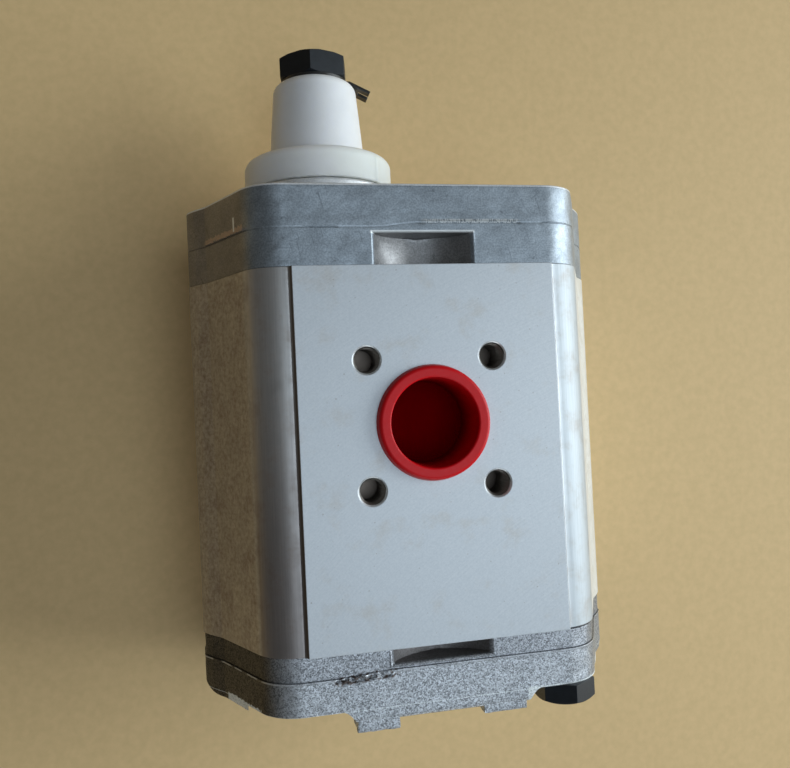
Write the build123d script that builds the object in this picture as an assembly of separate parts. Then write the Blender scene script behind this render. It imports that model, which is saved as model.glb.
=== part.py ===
from build123d import *
import os
from math import acos, cos, pi, radians, sin, sqrt, tan

# External gear pump: two meshed gears turn in a figure-eight bore between a front cover,
# which carries the drive end, and a rear cover.  All sizes are in millimetres.
#
# Frame: the origin is on the drive shaft's axis at the mounting face.  +Y points out of the
# pump along the shaft, +X runs from the drive gear to the driven gear, and +Z points out of
# the suction port.  The pump lies on its pressure port face, as it does on a bench.

# ---- housings -------------------------------------------------------------------------------
FRONT_COVER_LENGTH = 24.9
BODY_LENGTH = 114.0
REAR_SEAT_LENGTH = 17.3          # rear cover, joint face to the bolt heads' seats
REAR_FACE_LENGTH = 21.0          # rear cover, joint face to its raised middle
REAR_EDGE_RADIUS = 1.2
# The two stubs on the rear cover: place across it, width, and joint face to the stub's end.
REAR_STUBS = ((-20.4, 12.8, 24.3), (19.0, 13.9, 23.4))
REAR_STUB_DEPTH = 9.0
PAD_HALF_DEPTH = 44.0            # port pad to the housing's middle plane
PAD_HALF_WIDTH = 40.3
PAD_SLOPE_WIDTH = 1.0            # across the short slope at each side of a pad
OUTLINE_SHIFT = 1.0              # the outline's middle, from the ports' middle, toward the drive side
SKIN_HALF_DEPTH = 42.2           # the extrusion beside the pads, and both covers
SHOULDER_X, SHOULDER_Z = 64.1, 13.0      # end of the long flank, from the outline's middle
RIB_X, RIB_Z = 67.8, 8.2                 # start of the side rib
SIDE_X, SIDE_Z = 70.3, 4.2               # the flat of the side
CORNER_X = 49.5                          # where the top flat would meet the long flank
CORNER_RADIUS, SHOULDER_RADIUS, RIB_RADIUS, SIDE_RADIUS = 14.0, 3.0, 3.0, 5.0
SCOOP_RADIUS, SCOOP_DEPTH, SCOOP_EDGE_RADIUS = 18.8, 8.6, 1.0   # round recess above each port pad
FRONT_SCOOP_LENGTH, REAR_SCOOP_LENGTH = 10.0, 5.0

# ---- gears and shafts -----------------------------------------------------------------------
CENTRE_DISTANCE = 52.0
TEETH = 13
PRESSURE_ANGLE = radians(20)
PITCH_RADIUS = CENTRE_DISTANCE / 2
BASE_RADIUS = PITCH_RADIUS * cos(PRESSURE_ANGLE)
TIP_RADIUS = 29.5
ROOT_RADIUS = 21.5
BACKLASH = 0.1                   # taken off each tooth's thickness at the pitch circle
GEAR_WIDTH = 46.0
JOURNAL_RADIUS = 14.0
SEAL_LAND_RADIUS = 11.0
TAPER_RADIUS = 10.0              # large end of the 1:5 taper
THREAD_RADIUS = 7.0              # M14 x 1.5
RUNNING_GAP = 0.04               # between pieces that turn or slide on each other
TOOTH_TIP_GAP = 0.05             # gear tips to the body's bores

# ---- places along the shaft -----------------------------------------------------------------
FRONT_JOINT = -FRONT_COVER_LENGTH
REAR_JOINT = FRONT_JOINT - BODY_LENGTH
REAR_SEAT = REAR_JOINT - REAR_SEAT_LENGTH
REAR_FACE = REAR_JOINT - REAR_FACE_LENGTH
GEAR_FRONT = FRONT_JOINT - (BODY_LENGTH - GEAR_WIDTH) / 2
GEAR_BACK = GEAR_FRONT - GEAR_WIDTH
PORT_Y = -72.7
BLOCK_FLOAT = 0.1                # bearing block to cover
TAPER_START, TAPER_END = 11.0, 38.0
SHAFT_TIP = 56.0

# ---- spigot, shaft seal and what stands on the shaft ----------------------------------------
SPIGOT_RADIUS, SPIGOT_HEIGHT = 26.0, 6.4
SEAL_RADIUS, SEAL_WIDTH, SEAL_FLOOR = 19.0, 7.0, -4.0
CIRCLIP_THICKNESS, CIRCLIP_GROOVE_RADIUS = 1.5, 20.3
O_RING_SECTION, O_RING_GROOVE_RADIUS, O_RING_Y = 1.8, 24.1, 3.4
CAP_BOTTOM, CAP_RING_TOP, CAP_TOP = 7.1, 18.3, 45.4
CAP_RING_RADIUS, CAP_ROOT_RADIUS, CAP_TOP_RADIUS, CAP_WALL = 25.4, 16.5, 14.3, 1.8
CAP_RING_WALL, CAP_ROOF, CAP_HUB_WALL = 2.4, 2.5, 2.0
WASHER_THICKNESS, WASHER_RADIUS = 1.0, 11.5
NUT_WIDTH, NUT_HEIGHT, NUT_TURN = 22.0, 7.7, 41.0
KEY_DISC_RADIUS, KEY_WIDTH, KEY_Y, KEY_HEIGHT, KEY_STAND = 8.0, 4.0, 24.0, 6.5, 2.4

# ---- fasteners and ports --------------------------------------------------------------------
BOLT_X, BOLT_Z = 41.0, 34.5      # from the housing's middle
BOLT_RADIUS, BOLT_HOLE_RADIUS, MOUNT_HOLE_RADIUS = 5.0, 5.1, 5.5
BOLT_LENGTH, BOLT_HEAD_WIDTH, BOLT_HEAD_HEIGHT = 145.0, 17.0, 6.4
BOLT_THREAD_GAP, BOLT_TIP_ROOM = 0.05, 3.0
BOLT_HEAD_TURNS = (28.0, 0.0)
PORT_CIRCLE_RADIUS = 27.5        # 55 mm bolt circle on both pads
PORT_THREAD_RADIUS, PORT_THREAD_DEPTH, PORT_CHAMFER = 4.0, 13.0, 0.5
SUCTION_BORE_RADIUS, PRESSURE_BORE_RADIUS = 15.0, 10.0
PORT_BORE_END = 8.0              # the port bores stop in the space between the gears
PRESSURE_REBATE_RADIUS, PRESSURE_REBATE_DEPTH = 13.0, 2.0
PLUG_CLEARANCE = 0.05
DOWEL_RADIUS, DOWEL_HOLE_RADIUS, DOWEL_LENGTH, DOWEL_Z = 3.0, 1.6, 12.0, 26.0

# ---- bearing blocks, bushes and seals -------------------------------------------------------
BODY_BORE_RADIUS = TIP_RADIUS + TOOTH_TIP_GAP
BLOCK_RADIUS = BODY_BORE_RADIUS - RUNNING_GAP
BUSH_RADIUS, BUSH_INSET = 16.0, 0.5
FIT_GAP = 0.01                   # between pieces pressed together
PRESSURE_SEAL_DEPTH = 3.0
SEAL_SLACK = 0.1                 # round the rubber seals in their grooves
SEAL_END_GAP = 0.02              # between a seal and its groove's floor or the cover
JOINT_SEAL_RADIUS, JOINT_SEAL_DEPTH = 31.3, 1.8

MIDDLE_X = CENTRE_DISTANCE / 2   # the housing's middle, half way between the two shafts


# ---- small helpers --------------------------------------------------------------------------
def along_shaft(sketch, back, front):
    """Extrude a sketch, drawn in X and Z, along Y from back to front."""
    return extrude(Plane.XZ.offset(-back) * sketch, amount=front - back, dir=(0, 1, 0))


def rod(x, z, radius, back, front):
    return along_shaft(Pos(x, z) * Circle(radius), back, front)


def turned(*points):
    """Revolve a closed outline of (radius, y) points about the drive shaft's axis."""
    return revolve(Polygon(*points, align=None), axis=Axis.Y)


def upright(x, y, radius, low, high):
    return Pos(x, y, (low + high) / 2) * Cylinder(radius, high - low)


def rounded_polygon(*points):
    """A closed outline of (x, y, radius) points; a radius of 0 leaves a corner sharp."""
    outline = Polygon(*[(x, y) for x, y, _ in points], align=None)
    close = 0.01
    for x, y, radius in points:
        if radius > 0:
            here = [v for v in outline.vertices() if abs(v.X - x) < close and abs(v.Y - y) < close]
            outline = fillet(here, radius)
    return outline


def figure_eight(radius):
    """Two overlapping circles on the shaft centres, drawn in X and Z."""
    return Circle(radius) + Pos(CENTRE_DISTANCE, 0) * Circle(radius)


def corners(of_x, of_z):
    """The four points at +-of_x, +-of_z about the housing's middle."""
    return [(MIDDLE_X + sx * of_x, sz * of_z) for sx in (1, -1) for sz in (1, -1)]


def clamp_corners():
    """The diagonal pair of corners that the two clamp bolts take."""
    return [(MIDDLE_X + BOLT_X, BOLT_Z), (MIDDLE_X - BOLT_X, -BOLT_Z)]


def mount_corners():
    """The other pair, left free for the two long mounting bolts."""
    return [(MIDDLE_X - BOLT_X, BOLT_Z), (MIDDLE_X + BOLT_X, -BOLT_Z)]


# ---- housing outline ------------------------------------------------------------------------
def housing_outline():
    """The section that the body and both covers share, without the port pads."""
    quarter = [(CORNER_X, SKIN_HALF_DEPTH, CORNER_RADIUS), (SHOULDER_X, SHOULDER_Z, SHOULDER_RADIUS),
               (RIB_X, RIB_Z, RIB_RADIUS), (SIDE_X, SIDE_Z, SIDE_RADIUS)]
    right = quarter + [(x, -z, radius) for x, z, radius in reversed(quarter)]
    left = [(-x, -z, radius) for x, z, radius in right]
    outline = rounded_polygon(*right, *left)
    return Pos(MIDDLE_X - OUTLINE_SHIFT, 0) * outline


def housing_slab(back, front):
    return along_shaft(housing_outline(), back, front)


def scooped_slab(back, front):
    """A slab with a round, soft-edged scoop in the middle of both port-side faces."""
    outline = housing_outline()
    away = SKIN_HALF_DEPTH + SCOOP_RADIUS - SCOOP_DEPTH
    for side in (1, -1):
        outline -= Pos(MIDDLE_X, side * away) * Circle(SCOOP_RADIUS)
    reach = sqrt(SCOOP_RADIUS ** 2 - (away - SKIN_HALF_DEPTH) ** 2)
    close = 0.01
    rims = [v for v in outline.vertices()
            if abs(abs(v.X - MIDDLE_X) - reach) < close and abs(abs(v.Y) - SKIN_HALF_DEPTH) < close]
    return along_shaft(fillet(rims, SCOOP_EDGE_RADIUS), back, front)


# ---- housings -------------------------------------------------------------------------------
def front_cover():
    scoop_front = FRONT_JOINT + FRONT_SCOOP_LENGTH
    cover = scooped_slab(FRONT_JOINT, scoop_front) + housing_slab(scoop_front, 0)
    cover += rod(0, 0, SPIGOT_RADIUS, 0, SPIGOT_HEIGHT)
    cover -= rod(0, 0, SEAL_LAND_RADIUS + 1.5, FRONT_JOINT, SEAL_FLOOR)
    cover -= rod(0, 0, SEAL_RADIUS, SEAL_FLOOR, SPIGOT_HEIGHT)
    clip_back = SEAL_FLOOR + SEAL_WIDTH + 0.15
    cover -= rod(0, 0, CIRCLIP_GROOVE_RADIUS, clip_back, clip_back + CIRCLIP_THICKNESS + 0.1)
    groove = O_RING_SECTION / 2 + 0.3
    cover -= turned((O_RING_GROOVE_RADIUS, O_RING_Y - groove), (SPIGOT_RADIUS + 1, O_RING_Y - groove),
                    (SPIGOT_RADIUS + 1, O_RING_Y + groove), (O_RING_GROOVE_RADIUS, O_RING_Y + groove))
    for x, z in mount_corners():
        cover -= rod(x, z, MOUNT_HOLE_RADIUS, FRONT_JOINT, 0)
    for x, z in clamp_corners():
        thread_end = REAR_SEAT + BOLT_LENGTH + BOLT_TIP_ROOM
        cover -= rod(x, z, BOLT_RADIUS + BOLT_THREAD_GAP, FRONT_JOINT, thread_end)
    for side in (1, -1):
        cover -= dowel_hole(side, FRONT_JOINT, FRONT_JOINT + DOWEL_LENGTH / 2 + 0.2)
    return cover


def dowel_hole(side, back, front):
    return rod(MIDDLE_X, side * DOWEL_Z, DOWEL_RADIUS + 0.01, back, front)


def port_pad(side):
    """A raised pad along the body, with the short slope down to the extruded skin."""
    foot = PAD_HALF_WIDTH + PAD_SLOPE_WIDTH
    shape = Polygon((-foot, 0), (foot, 0), (foot, SKIN_HALF_DEPTH), (PAD_HALF_WIDTH, PAD_HALF_DEPTH),
                    (-PAD_HALF_WIDTH, PAD_HALF_DEPTH), (-foot, SKIN_HALF_DEPTH), align=None)
    shape = shape if side > 0 else mirror(shape, about=Plane.XZ)
    return along_shaft(Pos(MIDDLE_X, 0) * shape, REAR_JOINT, FRONT_JOINT)


def port_threads(side):
    """Four M8 holes on the port's bolt circle, each with a small chamfer at its mouth."""
    away = PORT_CIRCLE_RADIUS / sqrt(2)
    face = side * PAD_HALF_DEPTH
    floor = side * (PAD_HALF_DEPTH - PORT_THREAD_DEPTH)
    holes = []
    for sx in (1, -1):
        for sy in (1, -1):
            x, y = MIDDLE_X + sx * away, PORT_Y + sy * away
            holes.append(upright(x, y, PORT_THREAD_RADIUS, min(face, floor), max(face, floor)))
            big = PORT_THREAD_RADIUS + PORT_CHAMFER
            cone = Cone(PORT_THREAD_RADIUS, big, PORT_CHAMFER)
            turn = 0 if side > 0 else 180
            holes.append(Pos(x, y, face - side * PORT_CHAMFER / 2) * Rot(turn, 0, 0) * cone)
    return holes


def pump_body():
    body = housing_slab(REAR_JOINT, FRONT_JOINT) + port_pad(1) + port_pad(-1)
    body -= along_shaft(figure_eight(BODY_BORE_RADIUS), REAR_JOINT, FRONT_JOINT)
    rebate = figure_eight(JOINT_SEAL_RADIUS)
    body -= along_shaft(rebate, FRONT_JOINT - JOINT_SEAL_DEPTH, FRONT_JOINT)
    body -= along_shaft(rebate, REAR_JOINT, REAR_JOINT + JOINT_SEAL_DEPTH)
    for x, z in clamp_corners():
        body -= rod(x, z, BOLT_HOLE_RADIUS, REAR_JOINT, FRONT_JOINT)
    for x, z in mount_corners():
        body -= rod(x, z, MOUNT_HOLE_RADIUS, REAR_JOINT, FRONT_JOINT)
    for side in (1, -1):
        for hole in port_threads(side):
            body -= hole
        body -= dowel_hole(side, FRONT_JOINT - DOWEL_LENGTH / 2 - 0.2, FRONT_JOINT)
        body -= dowel_hole(side, REAR_JOINT, REAR_JOINT + DOWEL_LENGTH / 2 + 0.2)
    body -= upright(MIDDLE_X, PORT_Y, SUCTION_BORE_RADIUS, PORT_BORE_END, PAD_HALF_DEPTH)
    body -= upright(MIDDLE_X, PORT_Y, PRESSURE_BORE_RADIUS, -PAD_HALF_DEPTH, -PORT_BORE_END)
    rebate_floor = -PAD_HALF_DEPTH + PRESSURE_REBATE_DEPTH
    body -= upright(MIDDLE_X, PORT_Y, PRESSURE_REBATE_RADIUS, -PAD_HALF_DEPTH, rebate_floor)
    return body


def rear_cover():
    scoop_back = REAR_JOINT - REAR_SCOOP_LENGTH
    slab = housing_slab(REAR_FACE, scoop_back)
    slab = fillet(slab.edges().group_by(Axis.Y)[0], REAR_EDGE_RADIUS)
    cover = slab + scooped_slab(scoop_back, REAR_JOINT)
    for stub in REAR_STUBS:
        cover += rear_stub(*stub)
    for seat in rear_seats():
        cover -= seat
    for x, z in clamp_corners():
        cover -= rod(x, z, BOLT_HOLE_RADIUS, REAR_SEAT, REAR_JOINT)
    for x, z in mount_corners():
        cover -= rod(x, z, MOUNT_HOLE_RADIUS, REAR_SEAT, REAR_JOINT)
    for side in (1, -1):
        cover -= dowel_hole(side, REAR_JOINT - DOWEL_LENGTH / 2 - 0.2, REAR_JOINT)
    return cover


def rear_seats():
    """The lower corners of the rear face, where the bolt heads sit."""
    seat_x, seat_z, seat_radius = 27.5, 17.5, 10.0
    reach_x, reach_z = 60.0, 40.0
    seats = []
    for sx in (1, -1):
        for sz in (1, -1):
            shape = RectangleRounded(reach_x, reach_z, seat_radius)
            shape = Pos(MIDDLE_X + sx * (seat_x + reach_x / 2), sz * (seat_z + reach_z / 2)) * shape
            seats.append(along_shaft(shape, REAR_FACE, REAR_SEAT))
    return seats


def rear_stub(x, width, length):
    """A stub left by the casting's gate on the rear face, flush with the suction side's skin."""
    shape = Rectangle(width, REAR_STUB_DEPTH)
    shape = fillet(shape.vertices().group_by(Axis.Y)[0], 1.0)
    shape = Pos(MIDDLE_X + x, SKIN_HALF_DEPTH - REAR_STUB_DEPTH / 2) * shape
    return along_shaft(shape, REAR_JOINT - length, REAR_FACE + REAR_EDGE_RADIUS)


# ---- gears and shafts -----------------------------------------------------------------------
def involute(angle):
    return tan(angle) - angle


def half_tooth_angle(radius):
    """Half of a tooth's angular thickness at a radius, on the involute flank."""
    thickness = pi * PITCH_RADIUS / TEETH - BACKLASH
    at_pitch = thickness / (2 * PITCH_RADIUS)
    return at_pitch + involute(PRESSURE_ANGLE) - involute(acos(min(1.0, BASE_RADIUS / radius)))


def polar(radius, angle):
    return (radius * cos(angle), radius * sin(angle))


def gear_outline():
    """Involute teeth with round roots; one tooth points along +X."""
    steps = 6
    radii = [BASE_RADIUS + (TIP_RADIUS - BASE_RADIUS) * (i / (steps - 1)) ** 1.5 for i in range(steps)]
    pitch = 2 * pi / TEETH
    edges = []
    for tooth in range(TEETH):
        middle = tooth * pitch
        rising = [polar(r, middle - half_tooth_angle(r)) for r in radii]
        falling = [polar(r, middle + half_tooth_angle(r)) for r in reversed(radii)]
        next_root = polar(BASE_RADIUS, middle + pitch - half_tooth_angle(BASE_RADIUS))
        edges.append(Spline(*rising))
        edges.append(ThreePointArc(rising[-1], polar(TIP_RADIUS, middle), falling[0]))
        edges.append(Spline(*falling))
        edges.append(ThreePointArc(falling[-1], polar(ROOT_RADIUS, middle + pitch / 2), next_root))
    return make_face(edges)


def taper_radius(y):
    return TAPER_RADIUS - (y - TAPER_START) / 10


def key_top():
    return taper_radius(KEY_Y) + KEY_STAND


def key_disc(width, radius):
    """The half-round key's full disc, set into the taper with its axis across the shaft."""
    centre_z = key_top() - KEY_HEIGHT + KEY_DISC_RADIUS
    return Pos(0, KEY_Y, centre_z) * Rot(0, 90, 0) * Cylinder(radius, width)


def drive_gear_shaft():
    shaft = along_shaft(gear_outline(), GEAR_BACK, GEAR_FRONT)
    journal_gap = 0.4
    shaft += rod(0, 0, JOURNAL_RADIUS, REAR_JOINT + journal_gap, GEAR_BACK)
    shaft += rod(0, 0, JOURNAL_RADIUS, GEAR_FRONT, FRONT_JOINT - journal_gap)
    shaft += turned((0, FRONT_JOINT - journal_gap), (SEAL_LAND_RADIUS, FRONT_JOINT - journal_gap),
                    (SEAL_LAND_RADIUS, TAPER_START - 2), (TAPER_RADIUS, TAPER_START - 1),
                    (TAPER_RADIUS, TAPER_START), (taper_radius(TAPER_END), TAPER_END),
                    (THREAD_RADIUS, TAPER_END), (THREAD_RADIUS, SHAFT_TIP - 1),
                    (THREAD_RADIUS - 1, SHAFT_TIP), (0, SHAFT_TIP))
    return shaft - key_disc(KEY_WIDTH + 0.02, KEY_DISC_RADIUS + 0.02)


def driven_gear_shaft():
    gear = along_shaft(gear_outline(), GEAR_BACK, GEAR_FRONT)
    journal_gap = 0.6
    gear += rod(0, 0, JOURNAL_RADIUS, REAR_JOINT + journal_gap, GEAR_BACK)
    gear += rod(0, 0, JOURNAL_RADIUS, GEAR_FRONT, FRONT_JOINT - journal_gap)
    gear -= rod(0, 0, 4.0, REAR_JOINT, FRONT_JOINT)
    return Pos(CENTRE_DISTANCE, 0, 0) * gear


def woodruff_key():
    """The disc cut flat along the taper's far side, so that it stands out of its slot."""
    room = 40.0
    under_top = Pos(0, KEY_Y, key_top() - room / 2) * Box(room, room, room)
    return key_disc(KEY_WIDTH, KEY_DISC_RADIUS) & under_top


# ---- bearing blocks, bushes and seals -------------------------------------------------------
def block_ends(end):
    """Back and front of the bearing block at an end: 'front' or 'rear'."""
    if end == "front":
        return GEAR_FRONT + RUNNING_GAP, FRONT_JOINT - BLOCK_FLOAT
    return REAR_JOINT + BLOCK_FLOAT, GEAR_BACK - RUNNING_GAP


def seal_band(inner, outer, slack):
    """A 3-shaped band: an arc around each shaft, a foot at each outer end, a link between."""
    ring = Circle(outer + slack) - Circle(inner - slack)
    rings = ring + Pos(CENTRE_DISTANCE, 0) * ring
    height = 2 * outer
    half = Pos(MIDDLE_X, 3.0 + slack - height / 2) * Rectangle(4 * MIDDLE_X + 10, height)
    return rings & half


def pressure_seal_shape(slack):
    band = seal_band(20.6, 23.4, slack)
    width = 2.8 + 2 * slack
    link = Pos(MIDDLE_X, 1.6) * Rectangle(CENTRE_DISTANCE - 42.0, width)
    feet_at = 25.6
    for x in (-feet_at, CENTRE_DISTANCE + feet_at):
        band += Pos(x, 1.6) * Rectangle(5.0 + 2 * slack, width)
    return band + link


def backup_ring_shape(slack):
    ring = Circle(20.3 + slack) - Circle(18.9 - slack)
    height = 44.0
    lower = Pos(0, -height / 2 + slack) * Rectangle(height, height)
    arc = ring & lower
    return arc + Pos(CENTRE_DISTANCE, 0) * arc


def seal_ends(end, depth):
    """Back and front of the grooves in a bearing block's outer face."""
    back, front = block_ends(end)
    return (front - depth, front) if end == "front" else (back, back + depth)


def bearing_block(end):
    back, front = block_ends(end)
    block = along_shaft(figure_eight(BLOCK_RADIUS), back, front)
    groove = seal_ends(end, PRESSURE_SEAL_DEPTH)
    block -= along_shaft(pressure_seal_shape(SEAL_SLACK), *groove)
    block -= along_shaft(backup_ring_shape(0.05), *groove)
    for x in (0, CENTRE_DISTANCE):
        block -= rod(x, 0, BUSH_RADIUS, back, front)
    return block


def bush(end, x):
    back, front = block_ends(end)
    sleeve = rod(x, 0, BUSH_RADIUS - FIT_GAP, back + BUSH_INSET, front - BUSH_INSET)
    return sleeve - rod(x, 0, JOURNAL_RADIUS + RUNNING_GAP, back, front)


def pressure_seal(end):
    back, front = seal_ends(end, PRESSURE_SEAL_DEPTH)
    return along_shaft(pressure_seal_shape(0), back + SEAL_END_GAP, front - SEAL_END_GAP)


def backup_ring(end):
    back, front = seal_ends(end, PRESSURE_SEAL_DEPTH)
    return along_shaft(backup_ring_shape(0), back + SEAL_END_GAP, front - SEAL_END_GAP)


def joint_seal(end):
    """The gasket in the rebate round the bores' mouth, between body and cover."""
    ring = figure_eight(JOINT_SEAL_RADIUS - 0.05) - figure_eight(BODY_BORE_RADIUS + 0.05)
    back = FRONT_JOINT - JOINT_SEAL_DEPTH if end == "front" else REAR_JOINT
    return along_shaft(ring, back + SEAL_END_GAP, back + JOINT_SEAL_DEPTH - SEAL_END_GAP)


def shaft_seal_case():
    """An L-shaped steel ring: the outer wall and the web on the air side."""
    back, front = SEAL_FLOOR + 0.05, SEAL_FLOOR + SEAL_WIDTH
    outer = SEAL_RADIUS - 0.01
    return turned((outer - 1.0, back), (outer, back), (outer, front), (14.0, front),
                  (14.0, front - 1.0), (outer - 1.0, front - 1.0))


def shaft_seal_lip():
    """Rubber lip: bonded under the case's web and running on the shaft."""
    front = SEAL_FLOOR + SEAL_WIDTH
    lip = SEAL_LAND_RADIUS + 0.03
    return turned((17.9, front - 1.05), (13.9, front - 1.05), (13.9, front), (12.4, front),
                  (11.8, front - 1.8), (lip, front - 5.0), (12.0, front - 6.4), (13.2, front - 6.4),
                  (13.2, front - 5.9), (12.6, front - 5.0), (13.2, front - 4.2), (12.9, front - 2.2),
                  (17.9, front - 2.0))


def garter_spring():
    """The spring round the lip, drawn as a solid ring of its wire's coil diameter."""
    coil_radius = 0.4
    centre = (13.3, SEAL_FLOOR + SEAL_WIDTH - 5.05)
    return revolve(Pos(*centre) * Circle(coil_radius), axis=Axis.Y)


def seal_circlip():
    """Internal circlip with a gap and two eyed lugs, in the groove above the shaft seal."""
    back = SEAL_FLOOR + SEAL_WIDTH + 0.2
    ring = Circle(CIRCLIP_GROOVE_RADIUS - 0.1) - Circle(17.4)
    eyes = [polar(16.6, radians(16)), polar(16.6, radians(-16))]
    for centre in eyes:
        ring += Pos(*centre) * Circle(2.2)
    ring -= Pos(18, 0) * Rectangle(10, 5)
    for centre in eyes:
        ring -= Pos(*centre) * Circle(1.1)
    return along_shaft(ring, back, back + CIRCLIP_THICKNESS)


def spigot_o_ring():
    radius = O_RING_SECTION / 2
    return revolve(Pos(O_RING_GROOVE_RADIUS + 0.02 + radius, O_RING_Y) * Circle(radius), axis=Axis.Y)


# ---- fasteners ------------------------------------------------------------------------------
def hexagon(width):
    return RegularPolygon(width / 2, 6, major_radius=False)


def clamp_bolt(x, z, turn):
    """M10 hexagon screw: the head sits on the rear cover, the tip screws into the front cover."""
    hexagonal = Pos(x, z) * Rot(0, 0, turn) * hexagon(BOLT_HEAD_WIDTH)
    head = along_shaft(hexagonal, REAR_SEAT - BOLT_HEAD_HEIGHT, REAR_SEAT)
    disc = rod(x, z, 0.6 * BOLT_HEAD_WIDTH, REAR_SEAT - BOLT_HEAD_HEIGHT, REAR_SEAT)
    rim = disc.edges().group_by(Axis.Y)[0]
    head = head & chamfer(rim, 1.3, 2.6)
    return head + rod(x, z, BOLT_RADIUS, REAR_SEAT, REAR_SEAT + BOLT_LENGTH)


def clamp_bolts():
    """The heads stop where they are tight: one edge-up, the other with a flat to the bench."""
    return [clamp_bolt(x, z, turn) for (x, z), turn in zip(clamp_corners(), BOLT_HEAD_TURNS)]


def dowels(joint):
    """Two hollow dowels across a joint, one on each side of the bores."""
    pins = []
    for side in (1, -1):
        back, front = joint - DOWEL_LENGTH / 2, joint + DOWEL_LENGTH / 2
        pins.append(rod(MIDDLE_X, side * DOWEL_Z, DOWEL_RADIUS, back, front)
                    - rod(MIDDLE_X, side * DOWEL_Z, DOWEL_HOLE_RADIUS, back, front))
    return pins


def shaft_nut():
    back = CAP_TOP + WASHER_THICKNESS
    front = back + NUT_HEIGHT
    nut = along_shaft(Rot(0, 0, NUT_TURN) * hexagon(NUT_WIDTH), back, front)
    disc = rod(0, 0, 0.585 * NUT_WIDTH, back, front)
    rims = disc.edges().group_by(Axis.Y)
    nut = nut & chamfer(rims[0] + rims[-1], 0.8, 1.6)
    return nut - rod(0, 0, THREAD_RADIUS + 0.02, back, front)


def tab_washer():
    """Lock washer with a forked tongue that is bent down over the cap's shoulder."""
    disc = rod(0, 0, WASHER_RADIUS, CAP_TOP, CAP_TOP + WASHER_THICKNESS)
    reach, width, droop, bend = 7.8, 8.0, 25.0, 12.0
    middle = CAP_TOP + WASHER_THICKNESS / 2
    neck = Pos(bend - 2.5, middle, 0) * Box(5.0, WASHER_THICKNESS, width)
    tongue = Pos(reach / 2, 0, 0) * Box(reach, WASHER_THICKNESS, width)
    tongue -= Pos(reach / 2 + 4.0, 0, 0) * Box(reach, 2 * WASHER_THICKNESS, 2.6)
    elbow = Pos(bend, middle, 0) * Cylinder(WASHER_THICKNESS / 2, width)
    washer = disc + neck + elbow + Pos(bend, middle, 0) * Rot(0, 0, -droop) * tongue
    return washer - rod(0, 0, THREAD_RADIUS + 0.05, CAP_TOP, CAP_TOP + WASHER_THICKNESS)


# ---- plastic guards -------------------------------------------------------------------------
def shaft_guard_cap():
    """White transport cap: a wide ring over the spigot, a slim cone over the taper, and a hub
    under the roof that stands on the taper's small end."""
    ring_inner = CAP_RING_RADIUS - CAP_RING_WALL
    bore = THREAD_RADIUS + 0.2
    hub = bore + CAP_HUB_WALL
    roof = CAP_TOP - CAP_ROOF
    outer = [(CAP_RING_RADIUS, CAP_BOTTOM, 0), (CAP_RING_RADIUS, CAP_RING_TOP - 0.8, 3.0),
             (CAP_ROOT_RADIUS, CAP_RING_TOP, 0.6), (CAP_TOP_RADIUS, CAP_TOP, 3.7)]
    inner = [(bore, CAP_TOP, 0), (bore, TAPER_END, 0), (hub, TAPER_END, 0), (hub, roof, 0),
             (CAP_TOP_RADIUS - CAP_WALL - 0.2, roof, 2.0),
             (CAP_ROOT_RADIUS - CAP_WALL, CAP_RING_TOP - 2.4, 0), (ring_inner, CAP_RING_TOP - 3.2, 1.5),
             (ring_inner, CAP_BOTTOM, 0)]
    return revolve(rounded_polygon(*outer, *inner), axis=Axis.Y)


def port_plug(lip_radius, lip_height, sleeve_radius, sleeve_depth, cup_radius):
    """A plastic cup plug whose lip's underside is at Z = 0 and whose sleeve points down."""
    floor, draft = 1.5, 0.7
    rounding = 0.4 * lip_height
    outline = rounded_polygon(
        (0, -sleeve_depth, 0), (sleeve_radius - draft, -sleeve_depth, 0.5),
        (sleeve_radius, -0.8 * sleeve_depth, 0), (sleeve_radius, 0, 0), (lip_radius, 0, 0),
        (lip_radius - 0.2 * lip_height, lip_height, rounding), (cup_radius + 0.2, lip_height, rounding / 2),
        (cup_radius - draft, -sleeve_depth + floor, 1.0), (0, -sleeve_depth + floor, 0))
    return revolve(Plane.XZ * outline, axis=Axis.Z)


def suction_port_plug():
    plug = port_plug(17.5, 3.0, SUCTION_BORE_RADIUS - PLUG_CLEARANCE, 16.0, 13.3)
    return Pos(MIDDLE_X, PORT_Y, PAD_HALF_DEPTH) * plug


def pressure_port_plug():
    """Sits in the port's rebate, below the pad, so that the pump can stand on this face."""
    depth = PRESSURE_REBATE_DEPTH
    lip_radius = PRESSURE_REBATE_RADIUS - 0.1
    plug = port_plug(lip_radius, depth - 0.2, PRESSURE_BORE_RADIUS - PLUG_CLEARANCE, 12.0, 8.4)
    return Pos(MIDDLE_X, PORT_Y, -PAD_HALF_DEPTH + depth) * Rot(180, 0, 0) * plug


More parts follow.
